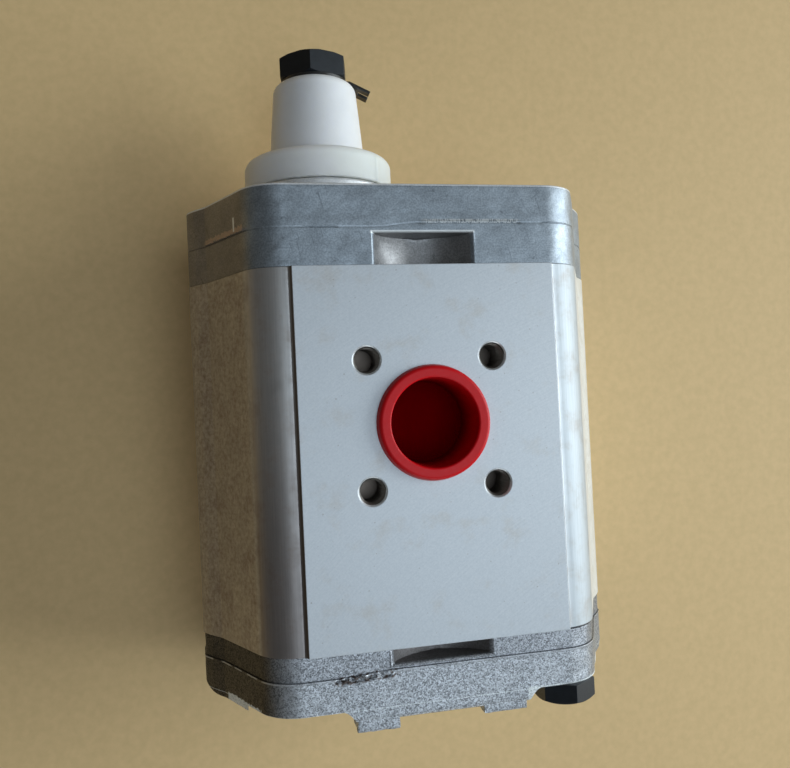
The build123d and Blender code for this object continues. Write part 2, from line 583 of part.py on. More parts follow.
# ---- the assembly ---------------------------------------------------------------------------
def all_parts():
    parts = {
        "front_cover": front_cover(),
        "pump_body": pump_body(),
        "rear_cover": rear_cover(),
        "drive_gear_shaft": drive_gear_shaft(),
        "driven_gear_shaft": driven_gear_shaft(),
        "woodruff_key": woodruff_key(),
        "shaft_seal_case": shaft_seal_case(),
        "shaft_seal_lip": shaft_seal_lip(),
        "garter_spring": garter_spring(),
        "seal_circlip": seal_circlip(),
        "spigot_o_ring": spigot_o_ring(),
        "clamp_bolts": clamp_bolts(),
        "front_dowels": dowels(FRONT_JOINT),
        "rear_dowels": dowels(REAR_JOINT),
        "shaft_nut": shaft_nut(),
        "tab_washer": tab_washer(),
        "shaft_guard_cap": shaft_guard_cap(),
        "suction_port_plug": suction_port_plug(),
        "pressure_port_plug": pressure_port_plug(),
    }
    for end in ("front", "rear"):
        parts[end + "_bearing_block"] = bearing_block(end)
        parts[end + "_drive_bush"] = bush(end, 0)
        parts[end + "_driven_bush"] = bush(end, CENTRE_DISTANCE)
        parts[end + "_pressure_seal"] = pressure_seal(end)
        parts[end + "_backup_ring"] = backup_ring(end)
        parts[end + "_joint_seal"] = joint_seal(end)
    return parts


def write_parts(parts):
    os.makedirs("parts", exist_ok=True)
    for name, shape in parts.items():
        solids = shape if isinstance(shape, list) else shape.solids()
        export_step(Compound(children=list(solids)), "parts/" + name + ".step")


write_parts(all_parts())
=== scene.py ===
import math
from functools import partial, reduce

import bmesh
import bpy
from mathutils import Euler, Matrix, Vector, noise


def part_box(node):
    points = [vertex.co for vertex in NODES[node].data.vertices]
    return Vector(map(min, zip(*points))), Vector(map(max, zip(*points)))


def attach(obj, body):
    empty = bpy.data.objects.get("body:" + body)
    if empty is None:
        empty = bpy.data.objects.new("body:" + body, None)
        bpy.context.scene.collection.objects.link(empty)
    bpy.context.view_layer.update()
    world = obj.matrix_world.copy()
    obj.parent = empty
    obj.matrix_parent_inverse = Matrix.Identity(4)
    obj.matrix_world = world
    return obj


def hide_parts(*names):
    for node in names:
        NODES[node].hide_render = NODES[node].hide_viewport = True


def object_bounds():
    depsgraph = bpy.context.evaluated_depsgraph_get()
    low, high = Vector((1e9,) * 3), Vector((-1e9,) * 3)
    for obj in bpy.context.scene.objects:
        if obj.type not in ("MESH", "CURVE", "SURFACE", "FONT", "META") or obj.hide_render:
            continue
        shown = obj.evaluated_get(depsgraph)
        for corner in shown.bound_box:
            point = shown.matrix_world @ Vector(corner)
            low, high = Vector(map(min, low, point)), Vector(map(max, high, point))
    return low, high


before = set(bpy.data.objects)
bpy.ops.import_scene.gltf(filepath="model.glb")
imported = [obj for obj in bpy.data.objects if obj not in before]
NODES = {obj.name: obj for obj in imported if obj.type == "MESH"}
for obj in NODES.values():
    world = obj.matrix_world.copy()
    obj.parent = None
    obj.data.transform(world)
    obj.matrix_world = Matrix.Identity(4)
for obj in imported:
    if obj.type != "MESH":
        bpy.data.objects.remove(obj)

CAD_BOX = [list(corner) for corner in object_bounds()]
MM = 0.001


# ---- positions, in millimetres --------------------------------------------------------------
def mm_box(node):
    low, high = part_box(node)
    return [v / MM for v in low], [v / MM for v in high]


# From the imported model.
BODY_LOW, BODY_HIGH = mm_box("pump_body")
CAP_LOW, CAP_HIGH = mm_box("shaft_guard_cap")
PLUG_LOW, PLUG_HIGH = mm_box("suction_port_plug")
SIDE_X, SKIN_Z = mm_box("front_cover")[1][::2]
MIDDLE_X = (PLUG_LOW[0] + PLUG_HIGH[0]) / 2
PORT_Y = (PLUG_LOW[1] + PLUG_HIGH[1]) / 2
OUTLINE_X = (BODY_LOW[0] + BODY_HIGH[0]) / 2
FRONT_JOINT, REAR_JOINT = BODY_HIGH[1], BODY_LOW[1]
PAD_Z = BODY_HIGH[2]

# The same sizes as in part.py.
MOUNT_FACE = 0.0
REAR_SEAT, REAR_FACE = REAR_JOINT - 17.3, REAR_JOINT - 21.0
MOUNT_HOLES = [(MIDDLE_X - 41.0, 34.5), (MIDDLE_X + 41.0, -34.5)]
MOUNT_RADIUS = 5.5
BOLT_CIRCLE = 55.0
FRONT_SCOOP_END, REAR_SCOOP_END = FRONT_JOINT + 10.0, REAR_JOINT - 5.0
SCOOP_RADIUS, SCOOP_DEPTH, SCOOP_EDGE = 18.8, 8.6, 1.0

# Features of the castings. The rear parting line steps up between the two STEP positions.
FRONT_PARTING, REAR_PARTING = -12.9, REAR_JOINT - 6.3
STEP_START, STEP_END, STEP_DROP, STEP_RISE = -34.0, -14.0, -1.2, 1.0
SCOOP_LEFT, SCOOP_RIGHT = MIDDLE_X - 16.2, MIDDLE_X + 16.2
RIM_HEIGHT = 1.6


# ---- camera, floor and light ----------------------------------------------------------------
def make_camera():
    data = bpy.data.cameras.new("camera")
    data.lens, data.sensor_width = 35.745, 36.0
    data.clip_start = 0.005
    camera = bpy.data.objects.new("camera", data)
    place = Vector((-33.1, -65.15, 272.4)) * MM
    turn = Euler([math.radians(angle) for angle in (1.6682, -11.7593, -2.7997)])
    camera.matrix_world = Matrix.Translation(place) @ turn.to_matrix().to_4x4()
    bpy.context.scene.collection.objects.link(camera)
    bpy.context.scene.camera = camera


def area_light(name, place, size, power, color):
    """A rectangular light at place, in metres, turned to the middle of the pump."""
    middle = Vector((0.02, -0.07, 0.0))
    data = bpy.data.lights.new(name, "AREA")
    data.shape, data.size, data.size_y = "RECTANGLE", size[0], size[1]
    data.energy, data.color = power, color
    lamp = bpy.data.objects.new(name, data)
    lamp.location = place
    lamp.rotation_euler = (middle - Vector(place)).to_track_quat("-Z", "Y").to_euler()
    bpy.context.scene.collection.objects.link(lamp)


def make_light():
    world = bpy.data.worlds.new("studio")
    world.use_nodes = True
    back = world.node_tree.nodes["Background"]
    back.inputs["Color"].default_value = (0.93, 0.90, 0.84, 1)
    back.inputs["Strength"].default_value = 0.085
    bpy.context.scene.world = world
    bpy.context.scene.view_settings.view_transform = "Standard"
    area_light("key", (1.62, 0.015, 0.58), (1.2, 1.5), power=33.0, color=(0.86, 0.95, 1.0))
    area_light("top", (0.21, -0.22, 1.0), (0.75, 0.75), power=2.9, color=(0.76, 0.89, 1.0))
    area_light("low", (0.10, -1.20, 0.30), (0.9, 0.25), power=2.5, color=(0.86, 0.95, 1.0))


def make_floor():
    """A plain floor at the bottom of the pump."""
    mesh = bpy.data.meshes.new("floor")
    half = 3.0
    z = CAD_BOX[0][2]
    corners = [(-half, -half, z), (half, -half, z), (half, half, z), (-half, half, z)]
    mesh.from_pydata(corners, [], [(0, 1, 2, 3)])
    floor = bpy.data.objects.new("floor", mesh)
    bpy.context.scene.collection.objects.link(floor)
    look = Look("floor", roughness=0.7)
    clouds = look.noise(3.0, detail=3.0)
    look.set("Base Color", look.ramp(clouds, [(0.3, (0.71, 0.50, 0.24)), (0.7, (0.77, 0.54, 0.265))]))
    mesh.materials.append(look.material)


# ---- materials ------------------------------------------------------------------------------
class Look:
    """A Principled material with short calls for the nodes that drive it.

    A mask is a value from 0 to 1. Colours are (r, g, b). Arguments that end in _mm are in
    millimetres.
    """

    def __init__(self, name, roughness=0.5, metallic=0.0):
        self.material = bpy.data.materials.new(name)
        self.material.use_nodes = True
        self.tree = self.material.node_tree
        self.shader = self.tree.nodes["Principled BSDF"]
        self.shader.inputs["Roughness"].default_value = roughness
        self.shader.inputs["Metallic"].default_value = metallic
        self.coordinates = self.tree.nodes.new("ShaderNodeTexCoord")
        self.place = self.coordinates.outputs["Object"]
        self.normal = None

    def plug(self, source, socket):
        """Link the socket to source, or set it to a number or a colour."""
        if isinstance(source, bpy.types.NodeSocket):
            self.tree.links.new(source, socket)
        else:
            socket.default_value = (*source, 1.0) if isinstance(source, tuple) else source

    def set(self, name, source):
        self.plug(source, self.shader.inputs[name])

    # Numbers and positions.
    def math(self, operation, a, b=0.0):
        made = self.tree.nodes.new("ShaderNodeMath")
        made.operation = operation
        self.plug(a, made.inputs[0])
        self.plug(b, made.inputs[1])
        return made.outputs[0]

    def absolute(self, value):
        return self.math("ABSOLUTE", value)

    def axes(self, source):
        made = self.tree.nodes.new("ShaderNodeSeparateXYZ")
        self.plug(source, made.inputs[0])
        return made.outputs

    def stretched(self, scale, where=None):
        made = self.tree.nodes.new("ShaderNodeVectorMath")
        made.operation = "MULTIPLY"
        self.plug(where or self.place, made.inputs[0])
        made.inputs[1].default_value = scale
        return made.outputs[0]

    def millimetres(self):
        """The x, y and z of the shaded point."""
        return self.axes(self.stretched((1 / MM, 1 / MM, 1 / MM)))

    # Masks.
    def between(self, value, low, high):
        """0 below low, 1 above high, and a smooth rise between."""
        made = self.tree.nodes.new("ShaderNodeMapRange")
        made.interpolation_type = "SMOOTHSTEP"
        self.plug(value, made.inputs[0])
        made.inputs[1].default_value, made.inputs[2].default_value = low, high
        return made.outputs[0]

    def below(self, value, low, high):
        """1 below low, 0 above high, and a smooth fall between."""
        return self.between(self.math("MULTIPLY", value, -1.0), -high, -low)

    def inside(self, value, low, high, soft):
        """1 where value lies between low and high, falling to 0 over soft on either side."""
        return self.all_of(self.between(value, low - soft, low), self.below(value, high, high + soft))

    def all_of(self, *masks):
        """Masks and numbers multiplied together."""
        return reduce(partial(self.math, "MULTIPLY"), masks)

    def any_of(self, *masks):
        """The largest of the masks."""
        return reduce(partial(self.math, "MAXIMUM"), masks)

    # Patterns.
    def noise(self, size_mm, detail=2.0, roughness=0.5, where=None):
        """Noise whose features are about size_mm across."""
        made = self.tree.nodes.new("ShaderNodeTexNoise")
        self.plug(where or self.place, made.inputs["Vector"])
        made.inputs["Scale"].default_value = 1.0 / (size_mm * MM)
        made.inputs["Detail"].default_value = detail
        made.inputs["Roughness"].default_value = roughness
        return made.outputs[0]

    def cells(self, size_mm):
        """A random number for each cell of about size_mm."""
        made = self.tree.nodes.new("ShaderNodeTexVoronoi")
        self.plug(self.place, made.inputs["Vector"])
        made.inputs["Scale"].default_value = 1.0 / (size_mm * MM)
        return self.axes(made.outputs["Color"])[0]

    def scratches(self, angle, length_mm, width_mm, level):
        """Thin marks of about length by width, at an angle in degrees from the X axis."""
        turned = self.tree.nodes.new("ShaderNodeMapping")
        self.plug(self.place, turned.inputs["Vector"])
        turned.inputs["Rotation"].default_value = (0.0, 0.0, math.radians(-angle))
        scale = (1.0 / length_mm, 1.0 / width_mm, 1.0 / length_mm)
        along = self.stretched(scale, turned.outputs[0])
        return self.between(self.noise(1.0, detail=1.0, where=along), level, level + 0.04)

    def cutter_arcs(self, x, y, centre, spacing_mm):
        """The arcs that a large milling cutter leaves around centre (x, y)."""
        away_x = self.math("SUBTRACT", x, centre[0])
        away_y = self.math("SUBTRACT", y, centre[1])
        square = self.math("ADD", self.all_of(away_x, away_x), self.all_of(away_y, away_y))
        made = self.tree.nodes.new("ShaderNodeTexNoise")
        made.noise_dimensions = "1D"
        self.plug(self.all_of(self.math("SQRT", square), 1.0 / spacing_mm), made.inputs["W"])
        made.inputs["Scale"].default_value = 1.0
        return made.outputs[0]

    # Colours.
    def ramp(self, source, stops):
        """Colours or grey values at the given (position, colour) stops."""
        made = self.tree.nodes.new("ShaderNodeValToRGB")
        self.plug(source, made.inputs[0])
        elements = made.color_ramp.elements
        while len(elements) < len(stops):
            elements.new(0.5)
        for element, (at, color) in zip(elements, stops):
            element.position = at
            element.color = (*color, 1.0) if isinstance(color, tuple) else (color, color, color, 1.0)
        return made.outputs[0]

    def mix(self, factor, a, b, blend="MIX"):
        made = self.tree.nodes.new("ShaderNodeMix")
        made.data_type, made.blend_type = "RGBA", blend
        self.plug(factor, made.inputs["Factor"])
        self.plug(a, made.inputs[6])
        self.plug(b, made.inputs[7])
        return made.outputs[2]

    def tint(self, mask, tone, color):
        """The tone multiplied by a colour where the mask is 1."""
        return self.mix(mask, tone, self.mix(1.0, tone, color, "MULTIPLY"))

    def overlay(self, factor, tone, source, stops):
        """The tone made darker and lighter by a ramp over source."""
        return self.mix(factor, tone, self.ramp(source, stops), "OVERLAY")

    # The surface.
    def bump(self, height, depth_mm):
        made = self.tree.nodes.new("ShaderNodeBump")
        self.plug(height, made.inputs["Height"])
        made.inputs["Strength"].default_value = 1.0
        made.inputs["Distance"].default_value = depth_mm * MM
        if self.normal is not None:
            self.tree.links.new(self.normal, made.inputs["Normal"])
        self.normal = made.outputs[0]
        self.set("Normal", self.normal)

    def soft_edges(self, radius_mm):
        made = self.tree.nodes.new("ShaderNodeBevel")
        made.samples = 6
        made.inputs["Radius"].default_value = radius_mm * MM
        self.normal = made.outputs[0]
        self.set("Normal", self.normal)


def scaled(color, factor):
    return tuple(c * factor for c in color)


def smooth_casting(name, color):
    """Die-cast skin: cloudy oxide, scratches, flash at the parting line, a turned spigot, painted shade on
    the left side and a painted highlight on the front edge.
    """
    look = Look(name)
    look.soft_edges(0.25)
    x, y, z = look.millimetres()
    off_middle = look.absolute(z)
    height = look.math("SUBTRACT", y, FRONT_PARTING)
    clouds = look.noise(9.0, detail=4.0, roughness=0.6)
    grain = look.noise(0.5, detail=3.0)
    tone = look.ramp(clouds, [(0.3, scaled(color, 0.80)), (0.55, color), (0.75, scaled(color, 1.14))])
    tone = look.overlay(0.45, tone, grain, [(0.35, 0.33), (0.65, 0.75)])
    pits = look.between(look.noise(1.6, detail=1.0), 0.74, 0.78)
    marks = look.any_of(look.scratches(35.0, 8.0, 0.7, 0.74), look.scratches(-76.0, 9.0, 0.5, 0.72))
    tone = look.mix(look.all_of(look.any_of(pits, marks), 0.45), tone, scaled(color, 0.35))

    # The scoop's floor is a little warmer than the skin. The left side is darker and browner: painted
    # shade.
    scoop = look.all_of(look.inside(x, SCOOP_LEFT, SCOOP_RIGHT, 0.3), look.between(off_middle, 20.0, 25.0))
    tone = look.tint(look.all_of(scoop, look.below(off_middle, 41.0, 41.6)), tone, (0.98, 0.86, 0.78))
    # Painted shade: the left side darkened and browned.
    tone = look.tint(look.below(x, OUTLINE_X - 54.0, OUTLINE_X - 50.0), tone, (0.80, 0.66, 0.56))

    # Light brown flash beside the parting line, on the left corner.
    port_side = look.between(z, 5.0, 8.0)
    wobble = look.all_of(look.math("SUBTRACT", look.noise(1.2, detail=2.0), 0.5), 2.4)
    flash = look.all_of(
        look.inside(look.math("ADD", height, wobble), 0.15, 1.8, 0.15), look.between(height, -0.15, 0.1),
        look.inside(x, OUTLINE_X - 64.0, OUTLINE_X - 53.0, 0.4), port_side)
    tone = look.mix(look.all_of(flash, 0.85), tone, (0.50, 0.36, 0.27))

    # Bare metal: a streak across the flash, a burr at the parting line, and the scoop's worn edge.
    streak = look.all_of(look.inside(x, -30.4, -30.1, 0.1), look.inside(height, 1.0, 5.0, 0.4), port_side)
    strokes = look.noise(1.0, detail=2.0, where=look.stretched((2.0, 0.35, 1.0)))
    burr = look.all_of(
        look.inside(height, 0.95, 1.9, 0.3), look.inside(x, MIDDLE_X + 2.0, MIDDLE_X + 29.0, 3.0),
        look.between(z, 30.0, 31.0), look.between(strokes, 0.42, 0.52), 0.7)
    worn = look.all_of(
        scoop, look.inside(height, -2.1, -1.35, 0.1), look.between(off_middle, 41.0, 41.3), 0.8)
    bare = look.any_of(burr, streak, worn)
    tone = look.mix(bare, tone, (0.80, 0.82, 0.82))

    # The machined front face and the turned spigot are bare metal; on the face's rounded edge the bright
    # colour is also a painted highlight.
    machined_and_edge_highlight = look.between(y, MOUNT_FACE - 0.75, MOUNT_FACE - 0.55)
    turned = look.ramp(grain, [(0.3, (0.70, 0.72, 0.74)), (0.7, (0.86, 0.87, 0.88))])
    look.set("Base Color", look.mix(machined_and_edge_highlight, tone, turned))
    matt = look.any_of(machined_and_edge_highlight, bare, flash)
    look.set("Metallic", look.math("SUBTRACT", 0.75, look.all_of(matt, 0.35)))
    look.set("Roughness", look.ramp(look.noise(4.0, detail=4.0), [(0.3, 0.38), (0.7, 0.52)]))
    look.bump(look.noise(7.0, detail=2.0), 0.25)
    look.bump(grain, 0.03)
    return look


def blasted_casting(name, color):
    """Rough casting: bright and dark grains, a torn parting line, scoops darkened by painted shade, cut
    seats, and painted shade on the left side and the right corner.
    """
    look = Look(name)
    x, y, z = look.millimetres()
    off_middle = look.absolute(z)
    fine = look.noise(0.35, detail=2.0, roughness=0.7)
    grain = look.math("ADD", look.all_of(look.cells(0.34), 0.6), look.all_of(fine, 0.4))
    tone = look.ramp(grain, [(0.22, scaled(color, 0.50)), (0.5, color), (0.76, scaled(color, 1.42))])
    tone = look.overlay(0.3, tone, look.noise(8.0, detail=3.0), [(0.3, 0.42), (0.7, 0.60)])

    # Painted shade: the left side is dark brown, but for the rear face, and the right corner is a little
    # darker.
    normal_y = look.axes(look.coordinates.outputs["Normal"])[1]
    left_painted_shade = look.all_of(
        look.below(x, OUTLINE_X - 53.0, OUTLINE_X - 46.0), look.between(normal_y, -0.95, -0.75))
    tone = look.tint(left_painted_shade, tone, (0.20, 0.175, 0.14))
    # Painted shade: the right corner a little darker.
    tone = look.tint(look.between(x, OUTLINE_X + 42.0, OUTLINE_X + 47.0), tone, (0.68, 0.69, 0.70))

    # The stepped parting line: painted shade towards the body, painted highlights on the lip, and a torn
    # stretch.
    rise = look.all_of(look.between(x, OUTLINE_X + STEP_START, OUTLINE_X + STEP_END), STEP_RISE)
    height = look.math("SUBTRACT", y, look.math("ADD", rise, REAR_PARTING + STEP_DROP))
    # Painted shade: darker from the parting line towards the body.
    tone = look.tint(look.between(height, -0.1, 0.2), tone, (0.86, 0.86, 0.87))
    # Painted highlight: brighter patches along the lip.
    lip = look.all_of(
        look.inside(height, -0.45, -0.05, 0.1), look.between(look.noise(5.0), 0.42, 0.52), 0.5)
    tone = look.mix(lip, tone, scaled(color, 1.7))
    torn = look.all_of(
        look.inside(height, -1.9, 0.2, 0.5), look.inside(x, OUTLINE_X - 31.0, OUTLINE_X - 14.0, 2.0),
        look.between(z, 38.0, 39.0), look.between(look.noise(1.3, detail=3.0), 0.50, 0.56), 0.85)
    tone = look.mix(torn, tone, (0.10, 0.065, 0.05))

    # The scoops' smooth floors and end walls, darkened by painted shade, and the painted shadow in the
    # joint at the right corner.
    scoop = look.all_of(
        look.inside(x, SCOOP_LEFT, SCOOP_RIGHT, 0.5),
        look.between(y, REAR_SCOOP_END - 0.3, REAR_SCOOP_END + 0.1), look.below(off_middle, 40.6, 41.3))
    # Painted shade in the scoops.
    tone = look.mix(look.all_of(scoop, 0.85), tone, (0.20, 0.185, 0.18))
    gap = look.all_of(
        look.between(y, REAR_JOINT - 0.75, REAR_JOINT - 0.6),
        look.between(x, OUTLINE_X + 39.0, OUTLINE_X + 43.0), look.between(z, 16.0, 20.0))
    tone = look.mix(gap, tone, (0.03, 0.03, 0.035))

    # Bare metal: one ground-off spot, which is also a painted highlight, the seats, and their edges towards
    # the rim.
    wobble = look.all_of(look.noise(1.5, detail=3.0), 2.4)
    # The ground-off spot's bright colour is also a painted highlight, standing in for a facet that catches
    # the light.
    ground_spot_highlight = look.all_of(
        look.inside(look.math("ADD", x, wobble), -36.8, -27.6, 0.3), look.between(z, 14.0, 15.0),
        look.below(look.math("ADD", y, wobble), REAR_SEAT + 1.7, REAR_SEAT + 2.0))
    edge = look.all_of(
        look.inside(x, MIDDLE_X + 26.6, MIDDLE_X + 31.0, 0.3),
        look.below(y, REAR_SEAT + 0.4, REAR_SEAT + 0.8))
    rim = look.all_of(
        look.between(x, MIDDLE_X + 30.0, MIDDLE_X + 31.0),
        look.below(y, REAR_SEAT + 0.35, REAR_SEAT + 0.55))
    by_seat = look.all_of(look.any_of(edge, rim), look.between(off_middle, 16.0, 17.0))
    seat = look.inside(y, REAR_SEAT - 0.05, REAR_SEAT + 0.05, 0.05)
    bare = look.any_of(ground_spot_highlight, look.all_of(look.any_of(seat, by_seat), 0.75))

    metal = look.ramp(grain, [(0.3, (0.68, 0.74, 0.75)), (0.55, (0.96, 1.0, 1.0))])
    look.set("Base Color", look.mix(bare, tone, metal))
    look.set("Metallic", look.math("SUBTRACT", 0.8, look.all_of(bare, 0.7)))
    look.set("Roughness", look.ramp(grain, [(0.3, 0.60), (0.7, 0.40)]))
    look.bump(look.all_of(grain, look.math("SUBTRACT", 1.0, look.all_of(scoop, 0.8))), 0.10)
    return look


def body_look(name):
    """Extruded body: milled pads, a drawn and stained skin on the sides with painted shade on the left and
    painted light on the right, dark hole walls, and a painted shadow on the pads' step.
    """
    look = Look(name, metallic=0.8)
    look.soft_edges(0.3)
    x, y, z = look.millimetres()
    off_middle = look.absolute(z)
    color = (0.56, 0.59, 0.62)

    # The skin, with painted shade and brown blotches on the left side and painted light on the right.
    lines = look.noise(0.35, detail=2.0, where=look.stretched((1.0, 0.02, 1.0)))
    stains = look.noise(7.0, detail=5.0, roughness=0.65)
    stained = look.all_of(look.between(stains, 0.45, 0.75), 0.4)
    skin = look.mix(stained, scaled(color, 0.95), (0.36, 0.29, 0.24))
    skin = look.overlay(0.35, skin, lines, [(0.3, 0.38), (0.7, 0.62)])
    blotches = look.noise(1.4, detail=4.0, roughness=0.7)
    # Painted shade: the left side darkened, with brown blotches.
    left_blotched_shade = look.ramp(blotches, [(0.35, (0.58, 0.48, 0.40)), (0.65, (0.92, 0.82, 0.74))])
    skin = look.tint(look.below(x, OUTLINE_X - 54.0, OUTLINE_X - 51.0), skin, left_blotched_shade)
    # Painted shade: the right arc a little darker; it is also rougher.
    right_arc = look.inside(x, OUTLINE_X + 44.0, OUTLINE_X + 54.0, 2.0)
    skin = look.tint(right_arc, skin, (0.84, 0.86, 0.86))
    # Painted light: the right side lighter, over its stains.
    bright = look.mix(look.between(stains, 0.5, 0.75), (0.80, 0.83, 0.84), (0.62, 0.61, 0.58))
    skin = look.mix(look.between(x, OUTLINE_X + 53.0, OUTLINE_X + 57.0), skin, bright)
    # Painted shade on the left arc: darker and browner towards the rear.
    worn = look.mix(look.between(y, -125.0, -45.0), (0.60, 0.52, 0.48), (0.95, 0.88, 0.82))
    skin = look.tint(look.inside(x, OUTLINE_X - 52.0, OUTLINE_X - 36.0, 1.0), skin, worn)

    # Near the middle lie the hole walls and their chamfers; further out, the step to the pad, with a
    # painted shadow.
    by_holes = look.inside(x, MIDDLE_X - 25.0, MIDDLE_X + 25.0, 0.5)
    skin = look.mix(by_holes, skin, (0.24, 0.20, 0.17))
    # The step's dark colour is a painted shadow; the chamfers are bright.
    step_shadow_or_chamfer = look.mix(by_holes, (0.16, 0.135, 0.12), (0.86, 0.88, 0.88))
    skin = look.mix(look.between(off_middle, PAD_Z - 1.65, PAD_Z - 0.7), skin, step_shadow_or_chamfer)

    # The pads, with faint stains and specks over the cutter's arcs.
    cuts = look.cutter_arcs(x, y, centre=(140.0, -260.0), spacing_mm=0.55)
    faint = look.between(look.noise(11.0, detail=5.0, roughness=0.6), 0.52, 0.74)
    milled = look.mix(look.all_of(faint, 0.30), color, (0.46, 0.40, 0.33))
    milled = look.overlay(0.15, milled, cuts, [(0.3, 0.35), (0.7, 0.65)])
    grain = look.noise(0.6, detail=3.0, roughness=0.7)
    milled = look.overlay(0.30, milled, grain, [(0.3, 0.35), (0.7, 0.65)])
    specks = look.between(look.noise(0.9, detail=0.0), 0.82, 0.85)
    milled = look.mix(look.all_of(specks, 0.4), milled, (0.22, 0.18, 0.15))

    pad = look.between(off_middle, PAD_Z - 0.10, PAD_Z - 0.02)
    look.set("Base Color", look.mix(pad, skin, milled))
    skin_rough = look.mix(right_arc, look.ramp(stains, [(0.3, 0.34), (0.7, 0.5)]), (0.60, 0.60, 0.60))
    look.set("Roughness", look.mix(pad, skin_rough, look.ramp(cuts, [(0.3, 0.50), (0.7, 0.56)])))
    look.bump(look.mix(pad, lines, cuts), 0.006)
    return look


def steel(name, color, roughness, metallic=1.0):
    """Bare or blackened steel with patches of wear."""
    look = Look(name, metallic=metallic)
    look.soft_edges(0.2)
    wear = look.noise(2.5, detail=5.0, roughness=0.6)
    look.set("Base Color", look.ramp(wear, [(0.3, scaled(color, 0.75)), (0.7, scaled(color, 1.25))]))
    grain = look.noise(0.4, detail=3.0)
    look.set("Roughness", look.ramp(grain, [(0.3, roughness - 0.07), (0.7, roughness + 0.07)]))
    look.bump(look.noise(0.4, detail=2.0), 0.01)
    return look


def turned_metal(name, color, roughness):
    """Lathe-turned metal with fine rings across the shafts' direction."""
    look = Look(name, roughness, metallic=1.0)
    rings = look.noise(0.3, detail=2.0, where=look.stretched((0.01, 1.0, 0.01)))
    look.set("Base Color", look.ramp(rings, [(0.3, scaled(color, 0.85)), (0.7, scaled(color, 1.1))]))
    look.bump(rings, 0.004)
    return look


def plastic(name, roughness, subsurface, radius, scale=0.001):
    """Moulded plastic, still without its colour; light travels radius x scale, in metres, in it."""
    look = Look(name)
    grain = look.noise(1.2, detail=3.0)
    look.set("Roughness", look.ramp(grain, [(0.3, roughness - 0.05), (0.7, roughness + 0.08)]))
    look.set("Specular IOR Level", 0.22)
    look.set("Subsurface Weight", subsurface)
    look.shader.inputs["Subsurface Radius"].default_value = radius
    look.shader.inputs["Subsurface Scale"].default_value = scale
    look.bump(look.noise(0.8, detail=2.0), 0.012)
    look.bump(look.noise(6.0, detail=3.0), 0.06)
    return look


def polymer(name, color):
    look = plastic(name, 0.4, 0.2, (1.0, 1.0, 0.8))
    clouds = look.noise(6.0, detail=3.0)
    look.set("Base Color", look.ramp(clouds, [(0.3, scaled(color, 0.94)), (0.7, color)]))
    return look


def red_plastic(name):
    """Soft red plastic. The cup is much darker than the lip: painted shade in its depth."""
    look = plastic(name, 0.40, 0.05, (2.0, 0.3, 0.2))
    z = look.axes(look.place)[2]
    # Painted shade: the cup darker than the lip.
    outer = look.between(look.absolute(z), 0.030, 0.0435)
    shade = look.mix(outer, (0.16, 0.0, 0.001), (0.62, 0.001, 0.005))
    look.set("Specular IOR Level", look.all_of(outer, 0.3))
    clouds = look.ramp(look.noise(5.0, detail=3.0), [(0.3, 0.93), (0.7, 1.0)])
    look.set("Base Color", look.mix(1.0, shade, clouds, "MULTIPLY"))
    return look


def white_plastic(name):
    """Natural polyethylene: white on the cone, a little yellower on the thick ring, and painted shade
    towards +X.
    """
    look = plastic(name, 0.38, 1.0, (9.0, 8.8, 8.0), scale=0.0005)
    x, y, _ = look.millimetres()
    tone = look.mix(look.between(y, 15.5, 18.5), (0.97, 0.99, 0.91), (1.0, 1.0, 0.99))
    # Painted shade: darker towards +X.
    tone = look.tint(look.between(x, -4.0, 20.0), tone, (0.78, 0.79, 0.81))
    clouds = look.ramp(look.noise(6.0, detail=3.0), [(0.3, 0.95), (0.7, 1.0)])
    look.set("Base Color", look.mix(1.0, tone, clouds, "MULTIPLY"))
    return look


def rubber(name):
    look = Look(name, roughness=0.7)
    clouds = look.noise(1.0, detail=4.0)
    look.set("Base Color", look.ramp(clouds, [(0.3, (0.012, 0.012, 0.013)), (0.7, (0.03, 0.03, 0.03))]))
    look.bump(look.noise(0.3), 0.01)
    return look


def dress(node, look):
    mesh = NODES[node].data
    mesh.materials.clear()
    mesh.materials.append(look.material)


